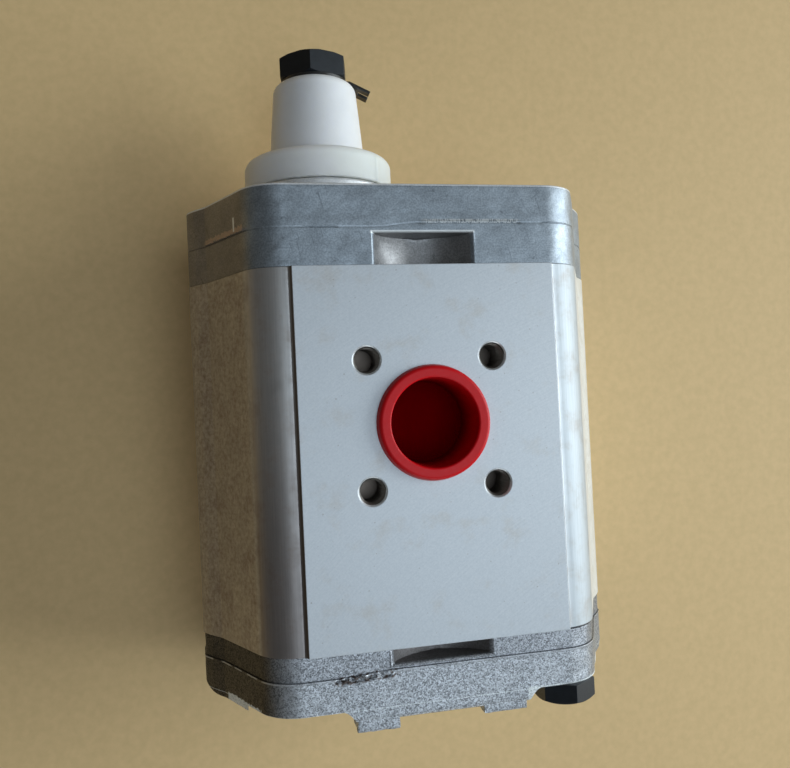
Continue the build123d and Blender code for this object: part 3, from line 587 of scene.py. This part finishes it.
def make_looks():
    """Dress every node of the frame; the returned looks also serve the pieces made below."""
    looks = {
        "front_cover": smooth_casting("front_casting", (0.30, 0.34, 0.38)),
        "rear_cover": blasted_casting("rear_casting", (0.43, 0.45, 0.48)),
        "pump_body": body_look("body"),
        "clamp_bolts": steel("black_oxide", (0.010, 0.013, 0.017), 0.42, metallic=0.3),
        "suction_port_plug": red_plastic("red_plastic"),
        "shaft_guard_cap": white_plastic("white_plastic"),
        "tab_washer": steel("dark_steel", (0.09, 0.09, 0.09), 0.36),
        "spigot_o_ring": rubber("nitrile"),
        "drive_gear_shaft": turned_metal("gear_steel", (0.50, 0.50, 0.51), 0.25),
        "front_drive_bush": turned_metal("bush_bronze", (0.50, 0.36, 0.20), 0.35),
        "front_bearing_block": turned_metal("block_alloy", (0.62, 0.63, 0.65), 0.35),
        "front_backup_ring": polymer("backup_polymer", (0.75, 0.72, 0.62)),
        "shaft_seal_case": steel("seal_steel", (0.42, 0.42, 0.43), 0.35),
    }
    same = {
        "clamp_bolts": ["shaft_nut"],
        "suction_port_plug": ["pressure_port_plug"],
        "spigot_o_ring": ["shaft_seal_lip", "front_pressure_seal", "rear_pressure_seal",
                          "front_joint_seal", "rear_joint_seal"],
        "drive_gear_shaft": ["driven_gear_shaft", "woodruff_key", "front_dowels", "rear_dowels"],
        "front_drive_bush": ["front_driven_bush", "rear_drive_bush", "rear_driven_bush"],
        "front_bearing_block": ["rear_bearing_block"],
        "front_backup_ring": ["rear_backup_ring"],
        "shaft_seal_case": ["garter_spring", "seal_circlip"],
    }
    for node, look in looks.items():
        for name in [node] + same.get(node, []):
            dress(name, look)
    looks["thread"] = turned_metal("cut_thread", (0.24, 0.22, 0.20), 0.4)
    return looks


# ---- mesh helpers ---------------------------------------------------------------------------
def new_piece(name, bm, look, body="housing", sharp=35.0):
    """A finished object from a bmesh in millimetres, smooth but for its sharp edges."""
    bmesh.ops.scale(bm, vec=(MM, MM, MM), verts=bm.verts)
    bmesh.ops.recalc_face_normals(bm, faces=bm.faces)
    mesh = bpy.data.meshes.new(name)
    bm.to_mesh(mesh)
    bm.free()
    mesh.shade_smooth()
    mesh.set_sharp_from_angle(angle=math.radians(sharp))
    mesh.materials.append(look.material)
    piece = bpy.data.objects.new(name, mesh)
    bpy.context.scene.collection.objects.link(piece)
    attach(piece, body)
    return piece


def loft(bm, rings, closed=True, caps=True):
    """Quads between rings of equally many points, with a face on each end."""
    rows = [[bm.verts.new(point) for point in ring] for ring in rings]
    for low, high in zip(rows, rows[1:]):
        for i in range(len(low) if closed else len(low) - 1):
            j = (i + 1) % len(low)
            bm.faces.new((low[i], low[j], high[j], high[i]))
    if caps:
        bm.faces.new(rows[0])
        bm.faces.new(list(reversed(rows[-1])))


def lathe(bm, profile, steps=96, swell=None):
    """Turn (radius, y) points about the drive shaft; swell(angle, radius, y) adds to a radius."""
    rings = []
    for radius, y in profile:
        ring = []
        for k in range(steps):
            angle = 2 * math.pi * k / steps
            out = radius + (swell(angle, radius, y) if swell else 0.0)
            ring.append((out * math.sin(angle), y, out * math.cos(angle)))
        rings.append(ring)
    loft(bm, rings, caps=False)


def prism(outline, back, front):
    """A bmesh of an outline of (x, z) points, extruded along Y."""
    bm = bmesh.new()
    loft(bm, [[(x, y, z) for x, z in outline] for y in (back, front)])
    bmesh.ops.recalc_face_normals(bm, faces=bm.faces)
    return bm


def circle(x, z, radius, steps=64):
    turns = [2 * math.pi * k / steps for k in range(steps)]
    return [(x + radius * math.cos(turn), z + radius * math.sin(turn)) for turn in turns]


def mount_holes(back, front):
    """A cutter for each mounting hole."""
    return [prism(circle(x, z, MOUNT_RADIUS), back, front) for x, z in MOUNT_HOLES]


def cut(bm, cutters):
    """The bmesh less each of the cutters; it and they are used up."""
    made = []
    for source in [bm] + cutters:
        mesh = bpy.data.meshes.new("cut")
        bmesh.ops.recalc_face_normals(source, faces=source.faces)
        source.to_mesh(mesh)
        source.free()
        made.append(bpy.data.objects.new("cut", mesh))
        bpy.context.scene.collection.objects.link(made[-1])
    for cutter in made[1:]:
        step = made[0].modifiers.new("cut", "BOOLEAN")
        step.operation, step.solver, step.object = "DIFFERENCE", "EXACT", cutter
    result = bmesh.new()
    result.from_object(made[0], bpy.context.evaluated_depsgraph_get())
    for item in made:
        bpy.data.objects.remove(item)
    return result


def quarter(steps):
    """Angles from 0 to 90 degrees."""
    return [math.pi / 2 * k / steps for k in range(steps + 1)]


def rough(point, size, seed=0.0):
    """Smooth noise from -1 to 1 whose bumps are about size across."""
    x, y, z = point
    return noise.noise(Vector((x / size + seed, y / size + 3.7 * seed, z / size - seed)))


def smoothly(value, low, high):
    """0 below low, 1 above high, and a smooth rise between."""
    t = min(1.0, max(0.0, (value - low) / (high - low)))
    return t * t * (3 - 2 * t)


# ---- castings -------------------------------------------------------------------------------
# A quarter of the covers' outline as (x, z, radius) corners; x is measured from OUTLINE_X.
CORNERS = [(49.5, SKIN_Z, 14.0), (64.1, 13.0, 3.0), (67.8, 8.2, 3.0), (SIDE_X - OUTLINE_X, 4.2, 5.0)]
RING_STEP, LEVEL_STEP = 0.7, 0.8
WHOLE_SCOOP = SCOOP_DEPTH + 0.4
# The skins lie this far inside the outline, so that their bumps stay inside the CAD box.
FRONT_SINK, REAR_SINK = 0.12, 0.32


def rounded_path(corners):
    """Points round a closed outline whose (x, z, radius) corners are rounded."""
    path = []
    for i, (x, z, radius) in enumerate(corners):
        here = Vector((x, z))
        back = (Vector(corners[i - 1][:2]) - here).normalized()
        ahead = (Vector(corners[(i + 1) % len(corners)][:2]) - here).normalized()
        half = back.angle(ahead) / 2
        middle = here + (back + ahead).normalized() * radius / math.sin(half)
        start, end = [here + side * radius / math.tan(half) for side in (back, ahead)]
        first = math.atan2(*reversed(start - middle))
        turn = math.remainder(math.atan2(*reversed(end - middle)) - first, 2 * math.pi)
        steps = max(2, math.ceil(abs(turn) * radius / RING_STEP))
        for k in range(steps + 1):
            angle = first + turn * k / steps
            path.append(middle + radius * Vector((math.cos(angle), math.sin(angle))))
    return path


def scoop_profile():
    """(x, depth) points across the scoop, from its left edge to its right edge."""
    edge_steps, floor_steps = 5, 15
    rise = SCOOP_RADIUS - SCOOP_DEPTH
    far = SCOOP_RADIUS + SCOOP_EDGE
    edge_x = math.sqrt(far ** 2 - (rise + SCOOP_EDGE) ** 2)
    meet = math.asin((rise + SCOOP_EDGE) / far)
    left = []
    for k in range(edge_steps + 1):
        angle = math.pi / 2 - (math.pi / 2 - meet) * k / edge_steps
        left.append((-edge_x + SCOOP_EDGE * math.cos(angle), SCOOP_EDGE - SCOOP_EDGE * math.sin(angle)))
    for k in range(1, floor_steps + 1):
        angle = meet + (math.pi / 2 - meet) * k / floor_steps
        left.append((-SCOOP_RADIUS * math.cos(angle), SCOOP_RADIUS * math.sin(angle) - rise))
    return left + [(-x, depth) for x, depth in reversed(left[:-1])]


def outline_points():
    """(x, z, scoop depth) points round the covers, about RING_STEP apart."""
    right = CORNERS + [(x, -z, radius) for x, z, radius in reversed(CORNERS)]
    path = rounded_path(right + [(-x, -z, radius) for x, z, radius in right])
    scoop_x = MIDDLE_X - OUTLINE_X
    points = []
    for here, after in zip(path, path[1:] + path[:1]):
        points.append((here.x, here.y, 0.0))
        gap = (after - here).length
        on_port_side = abs(here.y - after.y) < 0.001 and abs(abs(here.y) - SKIN_Z) < 0.001
        if on_port_side and gap > 60:
            way = 1 if after.x > here.x else -1
            across = [(way * x + scoop_x, depth) for x, depth in scoop_profile()]
            stops = [(here.x, 0.0)] + across + [(after.x, 0.0)]
            for (xa, da), (xb, db) in zip(stops, stops[1:]):
                steps = max(1, math.ceil(abs(xb - xa) / RING_STEP)) if da == db == 0.0 else 1
                for k in range(1, steps + 1):
                    points.append((xa + (xb - xa) * k / steps, here.y, db if k == steps else da))
            points.pop()
        elif gap > 1.5 * RING_STEP:
            steps = math.ceil(gap / RING_STEP)
            points += [(*here.lerp(after, k / steps), 0.0) for k in range(1, steps)]
    return points


def casting_ring():
    """The covers' outline as (point, outward normal, scoop depth)."""
    points = outline_points()
    ring = []
    for i, (x, z, depth) in enumerate(points):
        before, after = points[i - 1], points[(i + 1) % len(points)]
        along = Vector((after[0] - before[0], after[1] - before[1])).normalized()
        normal = Vector((-along.y, along.x))
        if normal.dot(Vector((x, z))) < 0:
            normal = -normal
        ring.append((Vector((x, z)), normal, depth))
    return ring


def casting_layers(levels, push, slide):
    """A cover's rings at each level, which is (y, inset, depth that the scoops may have there).

    push(x, y, z) moves a point outwards and slide(x, y, z) moves it along Y.
    """
    ring = casting_ring()
    layers = []
    for y, inset, limit in levels:
        layer = []
        for point, normal, depth in ring:
            deep = min(depth, limit)
            flat = point - normal * inset
            z = flat.y - math.copysign(deep, flat.y) if deep > 0 else flat.y
            out = push(flat.x, y, z) * (1.0 if deep == 0 else 0.3)
            x = OUTLINE_X + flat.x + normal.x * out
            layer.append((x, y + slide(flat.x, y, z), z + normal.y * out))
        layers.append(layer)
    return layers


def edge_levels(end, way, radius, steps, limit=0.0):
    """Rounded edge: levels from the face at end, going way (+1 or -1) along Y."""
    return [(end + way * radius * (1 - math.cos(a)), radius * (1 - math.sin(a)), limit)
            for a in quarter(steps)]


def span_levels(start, end, limit):
    """The levels between start and end, without the two."""
    steps = max(1, math.ceil(abs(end - start) / LEVEL_STEP))
    return [(start + (end - start) * k / steps, 0.0, limit) for k in range(1, steps)]


def scoop_wall(y, way):
    """Levels down the scoop's end wall at y, with the scoop on the way side."""
    edge = [(-0.7, 0.0), (-0.35, 0.07), (-0.15, 0.25), (-0.03, 0.6), (0.0, 1.0)]
    foot = [(0.30, WHOLE_SCOOP - 1.0), (0.40, WHOLE_SCOOP - 0.7), (0.75, WHOLE_SCOOP)]
    return [(y + way * at, 0.0, depth) for at, depth in edge + foot]


def front_parting(x, z, t):
    """Offset near the front cover's parting line; t is the distance towards the mounting face."""
    left_flash = smoothly(-x, 51.5, 53.0) * (1 - smoothly(-x, 63.5, 64.5)) * (z > 0)
    top_burr = smoothly(x, 0.0, 3.0) * (1 - smoothly(x, 29.0, 33.0)) * (z > 30)
    ragged = max(0.0, 0.6 + 0.9 * rough((x, 0.0, z), 1.3, 4.0))
    height = 0.55 * left_flash + 0.20 * top_burr
    reach = 1.0 + 0.9 * rough((x, 0.0, z), 1.7, 9.0) if left_flash > top_burr else 0.5
    if t >= -0.01:
        return 0.03 + height * (0.5 + 0.5 * ragged) * (1 - smoothly(t, 0.5 * reach, reach))
    clear = smoothly(rough((x, 0.0, z), 9.0, 11.0), -0.25, 0.15) * (abs(x) < 48) * (1 - top_burr)
    return -0.22 * (1 - 0.9 * clear) if t > -0.32 else 0.0


def front_casting():
    by_parting = (2.0, 1.6, 1.3, 1.0, 0.7, 0.4, 0.2, 0.0, -0.1, -0.3, -0.45, -0.8)
    levels = edge_levels(MOUNT_FACE, -1, 0.5, 4)
    levels += span_levels(MOUNT_FACE - 0.5, FRONT_PARTING + by_parting[0], 0.0)
    levels += [(FRONT_PARTING + t, 0.0, 0.0) for t in by_parting]
    levels += scoop_wall(FRONT_SCOOP_END, -1)
    levels += span_levels(FRONT_SCOOP_END - 0.75, FRONT_JOINT + 0.25, WHOLE_SCOOP)
    levels += reversed(edge_levels(FRONT_JOINT, 1, 0.25, 3, WHOLE_SCOOP))

    def push(x, y, z):
        here = (x, y, z)
        wave = 0.10 * rough(here, 17.0) + 0.05 * rough(here, 5.0, 2.0) - FRONT_SINK
        near = y - FRONT_PARTING
        return wave + (front_parting(x, z, near) if -0.4 < near < 2.1 else 0.0)

    def slide(x, y, z):
        step = 1.2 * smoothly(x, -14.0, 0.0) * (z > 30)
        near = y - FRONT_PARTING
        return step * (smoothly(near, -1.3, -0.5) if near < 0 else 1 - smoothly(near, 2.5, 8.0))

    bm = bmesh.new()
    loft(bm, casting_layers(levels, push, slide))
    bm = cut(bm, mount_holes(FRONT_JOINT - 1, MOUNT_FACE + 1))
    spigot(bm)
    piece = new_piece("front_cover_casting", bm, LOOKS["front_cover"])
    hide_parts("front_cover")


def spigot(bm):
    """The pilot spigot with its O-ring groove, and the seal's bore down to the shaft's clearance."""
    rim, groove, bore, clip_groove, clearance = 26.0, 24.1, 19.0, 20.3, 12.5
    lathe(bm, [
        (rim, -0.05), (rim, 2.2), (rim - 0.1, 2.3), (groove, 2.3), (groove, 4.5), (rim - 0.1, 4.5),
        (rim, 4.6), (rim, 5.8), (rim - 0.5, 6.4), (bore + 0.6, 6.4), (bore, 5.9), (bore, 4.85),
        (clip_groove, 4.85), (clip_groove, 3.1), (bore, 3.1), (bore, -4.0), (clearance, -4.0),
        (clearance, -20.0)])


def rear_parting(x, z, t):
    """Offset near the rear cover's parting line; t is the distance towards the body."""
    burr = smoothly(x, -33.0, -31.0) * (1 - smoothly(x, -15.5, -13.5)) * (z > 30)
    torn = 0.9 * rough((x, 2.2 * t, z), 1.1, 7.0) - 0.15
    if t > 0.01:
        return -0.35 if t < 0.28 else 0.0
    ridge = 0.12 * (t > -0.5)
    return ridge + burr * torn * (1 - smoothly(-t, 1.6, 2.4))


def rear_casting():
    by_parting = (0.5, 0.3, 0.15, 0.0, -0.3, -0.6, -0.9, -1.2, -1.5, -1.8, -2.1, -2.5)
    levels = edge_levels(REAR_JOINT, -1, 0.3, 3, WHOLE_SCOOP)
    levels += span_levels(REAR_JOINT - 0.3, REAR_SCOOP_END + 0.75, WHOLE_SCOOP)
    levels += reversed(scoop_wall(REAR_SCOOP_END, 1))
    levels += [(REAR_PARTING + t, 0.0, 0.0) for t in by_parting]
    levels += span_levels(REAR_PARTING + by_parting[-1], REAR_FACE + 1.2, 0.0)
    levels += reversed(edge_levels(REAR_FACE, 1, 1.2, 5))

    def push(x, y, z):
        here = (x, y, z)
        wave = 0.12 * rough(here, 12.0) + 0.10 * rough(here, 2.6, 2.0) + 0.05 * rough(here, 1.2, 5.0)
        near = y - REAR_PARTING
        shell = 0.12 if near < 0.01 else -0.12
        line = rear_parting(x, z, near) if -2.5 < near < 0.45 else 0.0
        return wave - REAR_SINK + shell + line

    def slide(x, y, z):
        step = STEP_DROP + STEP_RISE * smoothly(x, STEP_START, STEP_END) if z > 0 else 0.0
        near = y - REAR_PARTING
        return step * (1 - smoothly(near, 0.4, 1.3) if near > 0 else 1 - smoothly(-near, 3.0, 9.0))

    bm = bmesh.new()
    loft(bm, casting_layers(levels, push, slide))
    cutters = [seat_cutter(sx, sz) for sx in (1, -1) for sz in (1, -1)]
    cutters += mount_holes(REAR_FACE - 2, REAR_JOINT + 1)
    cutters += [side_cutter(side) for side in (1, -1)]
    bm = cut(bm, cutters)
    gate_stub(bm, MIDDLE_X - 20.4, width=12.8, end=REAR_JOINT - 24.3)
    gate_stub(bm, MIDDLE_X + 19.0, width=13.9, end=REAR_JOINT - 23.4)
    piece = new_piece("rear_cover_casting", bm, LOOKS["rear_cover"])
    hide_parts("rear_cover")


def seat_cutter(sx, sz):
    """What a corner seat takes off the rear face; its inner walls flare into the seat."""
    inner_x, inner_z, radius, reach, beyond = 27.5, 17.5, 10.0, 30.5, 60.0
    flares = [(-3.0, -0.6), (0.0, -0.6), (1.0, 0.0), (2.2, 0.9), (3.2, 2.0), (REAR_SEAT - REAR_FACE, 3.0)]
    outer_x = inner_x + reach
    rings = []
    for height, flare in flares:
        x0, z0 = inner_x + flare, inner_z + 0.2 * flare
        arc = [(x0 + radius * (1 - math.cos(a)), z0 + radius * (1 - math.sin(a))) for a in quarter(10)]
        outline = [(x0, z0 + beyond)] + arc + [(outer_x, z0), (outer_x, z0 + beyond)]
        rings.append([(MIDDLE_X + sx * x, REAR_FACE + height, sz * z) for x, z in outline])
    bm = bmesh.new()
    loft(bm, rings)
    return bm


def side_cutter(side):
    """Takes the outer end of the rear face down to the rim and rounds its corner to the side."""
    radius, half_length, rim = 5.0, 46.0, REAR_SEAT - RIM_HEIGHT
    edge = OUTLINE_X + side * (SIDE_X - OUTLINE_X + 0.1)
    arc = [(edge - side * radius * (1 - math.sin(a)), rim + radius * (1 - math.cos(a)) - 0.02)
           for a in quarter(10)]
    start, below, beyond = MIDDLE_X + side * 57.8, REAR_FACE - 3.0, edge + side * 2.0
    outline = [(start, rim)] + arc + [(beyond, rim + radius), (beyond, below), (start, below)]
    bm = bmesh.new()
    loft(bm, [[(x, y, z) for x, y in outline] for z in (-half_length, half_length)])
    return bm


def gate_stub(bm, x, width, end):
    """A broken-off gate: a small block, flush with the skin, with soft edges and a ragged end."""
    depth, root, below_skin = 9.0, 5.0, 0.28
    length = REAR_FACE - end
    block = bmesh.new()
    bmesh.ops.create_cube(block, size=1.0)
    bmesh.ops.subdivide_edges(block, edges=block.edges[:], cuts=17, use_grid_fill=True)
    centre = Vector((x, REAR_FACE + (root - length) / 2 + 0.25, SKIN_Z - below_skin - depth / 2))
    for vert in block.verts:
        vert.co = centre + Vector((vert.co.x * width, vert.co.y * (length + root - 0.3), vert.co.z * depth))
    for _ in range(2):
        bmesh.ops.smooth_vert(
            block, verts=block.verts, factor=0.5, use_axis_x=True, use_axis_y=True, use_axis_z=True)
    for vert in block.verts:
        amount = 0.12 + 0.22 * smoothly(REAR_FACE - vert.co.y, 0.5, 2.2)
        here = tuple(vert.co)
        shift = (rough(here, 2.0, 1.0), 0.5 * rough(here, 1.6, 2.0), 0.6 * rough(here, 2.2, 3.0))
        vert.co += Vector(shift) * amount
    spare = bpy.data.meshes.new("stub")
    block.to_mesh(spare)
    block.free()
    bm.from_mesh(spare)
    bpy.data.meshes.remove(spare)


# ---- the guard cap --------------------------------------------------------------------------
def guard_cap():
    """The guard cap with soft edges, a mould seam on its ring and a slight waviness."""
    bottom, ring_top, top, socket_top = CAP_LOW[1], 18.3, CAP_HIGH[1], 38.0
    ring, root, crown, hub, bore = CAP_HIGH[0], 16.5, 14.3, 9.2, 7.2
    corners = [
        (ring, bottom, 0.35), (ring, ring_top - 0.8, 3.0), (root, ring_top, 0.8), (crown, top, 3.7),
        (bore, top, 0.3), (bore, socket_top, 0.1), (hub, socket_top, 0.1), (hub, top - 2.5, 0.2),
        (crown - 2.0, top - 2.5, 1.8), (root - 1.8, ring_top - 2.4, 0.4),
        (ring - 2.4, ring_top - 3.2, 1.4), (ring - 2.4, bottom, 0.2)]
    path = [(point.x, point.y) for point in rounded_path(corners)]
    profile = []
    for (ra, ya), (rb, yb) in zip(path, path[1:] + path[:1]):
        steps = max(1, math.ceil(math.hypot(rb - ra, yb - ya) / 1.5))
        profile += [(ra + (rb - ra) * k / steps, ya + (yb - ya) * k / steps) for k in range(steps)]
    seam, seam_height = math.radians(43.5), 0.40

    def swell(angle, radius, y):
        here = (8.0 * math.sin(angle), y, 8.0 * math.cos(angle))
        wave = 0.07 * rough(here, 7.0, 3.0) - 0.12
        near = abs(math.remainder(angle - seam, 2 * math.pi)) * radius
        if radius > ring - 0.3 and y < ring_top - 2.5:
            wave += seam_height * (1 - smoothly(near, 0.35, 0.80))
        return wave

    bm = bmesh.new()
    lathe(bm, profile + profile[:1], 360, swell)
    bmesh.ops.remove_doubles(bm, verts=bm.verts, dist=0.001)
    piece = new_piece("guard_cap_moulding", bm, LOOKS["shaft_guard_cap"], body="drive_shaft", sharp=50.0)
    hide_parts("shaft_guard_cap")


# ---- threads in the port holes --------------------------------------------------------------
def port_thread(name, x, y, side):
    """The M8 thread's ridge, wound down the inside of a port hole.

    The section is (share of the ridge's height, share of the pitch along the hole).
    """
    pitch, root, crest, turns, steps = 1.25, 4.02, 3.42, 9, 40
    first, run_in, half_root, half_crest = 0.75, 0.6, 0.5, 0.09
    section = [(0.0, -half_root), (1.0, -half_crest), (1.0, half_crest), (0.0, half_root)]
    bm = bmesh.new()
    rows = []
    for k in range(turns * steps + 1):
        angle = 2 * math.pi * k / steps
        depth = first + pitch * k / steps
        grown = min(1.0, k / (run_in * steps))
        row = []
        for height, shift in section:
            radius = root + (crest - root) * height * grown
            z = side * (PAD_Z - depth - shift * pitch)
            row.append((x + radius * math.cos(angle), y + side * radius * math.sin(angle), z))
        rows.append(row)
    loft(bm, rows, closed=False, caps=False)
    piece = new_piece(name, bm, LOOKS["thread"], sharp=30.0)


def port_threads():
    away = BOLT_CIRCLE / 2 / math.sqrt(2)
    for port, side in (("suction", 1), ("pressure", -1)):
        for k, (sx, sy) in enumerate([(1, 1), (1, -1), (-1, 1), (-1, -1)]):
            port_thread("%s_thread_%d" % (port, k + 1), MIDDLE_X + sx * away, PORT_Y + sy * away, side)


make_camera()
make_light()
LOOKS = make_looks()
make_floor()
front_casting()
rear_casting()
guard_cap()
port_threads()
